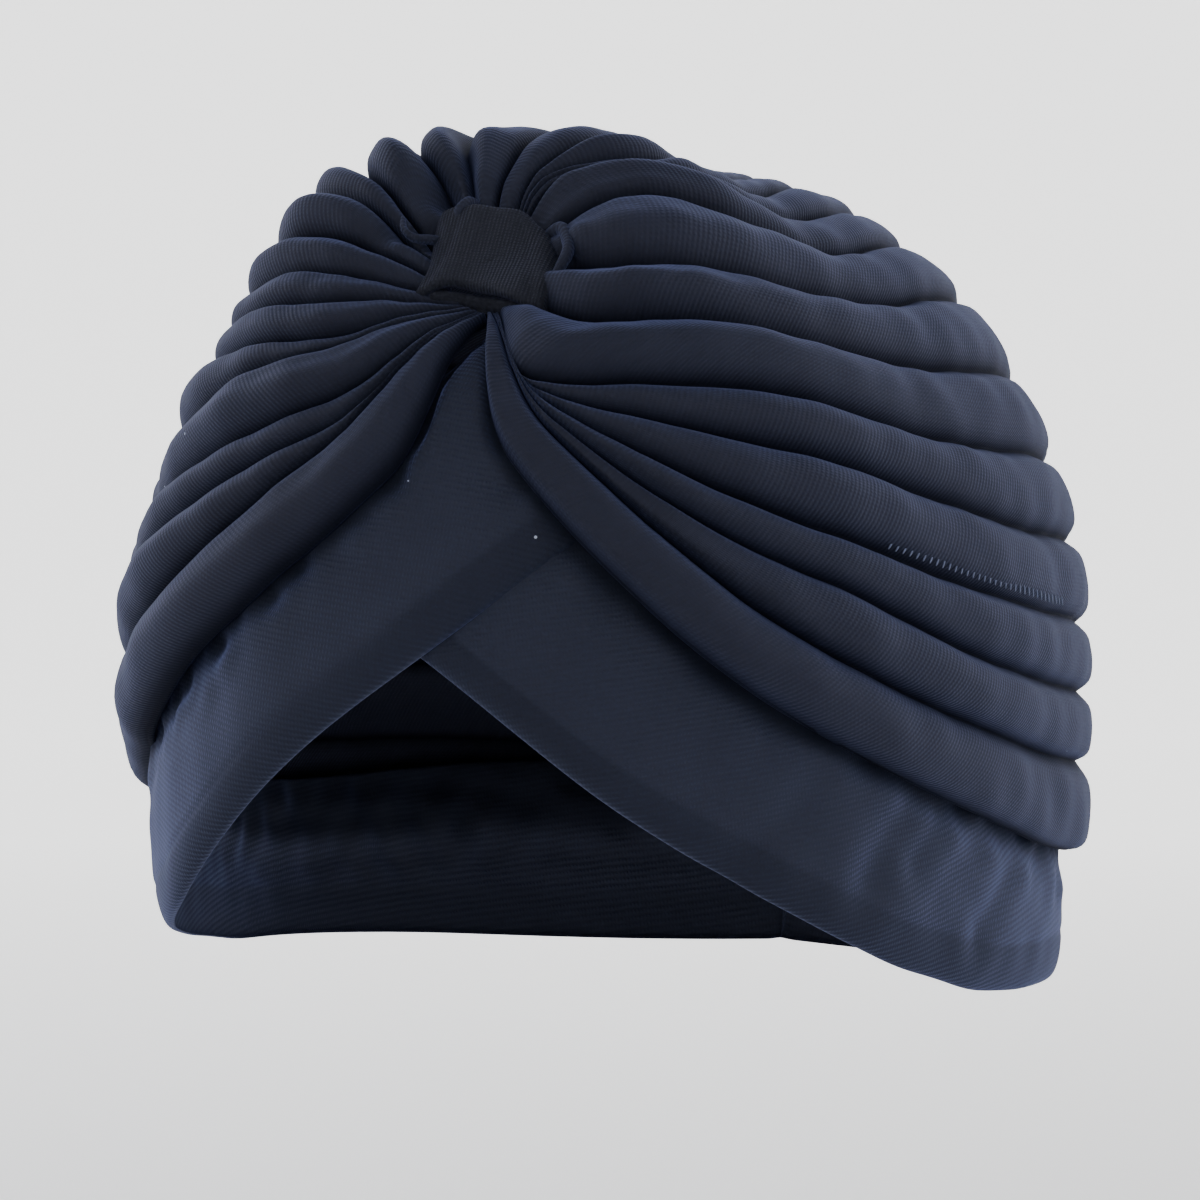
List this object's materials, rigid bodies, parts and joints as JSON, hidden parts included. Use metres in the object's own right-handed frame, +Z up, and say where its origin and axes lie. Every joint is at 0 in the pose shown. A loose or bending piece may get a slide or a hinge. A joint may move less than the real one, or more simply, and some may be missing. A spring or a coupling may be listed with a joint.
{
  "type": "turban headwrap",
  "caption": "Pre-tied turban headwrap: a pleated jersey crown gathered under a front knot tab, over a smooth head band that crosses at the forehead and is open below for the head.",
  "frame": {"origin": "on the head's axis inside the wrap, at the level of its widest ring, where it sits on a head", "axes": "-Y toward the face and the crossed band's notch, +X toward the wearer's left, +Z up to the crown"},
  "size_m": [0.1674, 0.1971, 0.1579],
  "materials": {
    "crown_jersey": "pleated navy jersey with a soft sheen",
    "band_jersey": "smooth navy jersey, fine wales",
    "tab_jersey": "navy jersey, matt"
  },
  "bodies": {
    "root": {"pleated_crown": "crown_jersey", "band_over": "band_jersey", "band_under": "band_jersey", "knot_tab": "tab_jersey"}
  },
  "joints": []
}
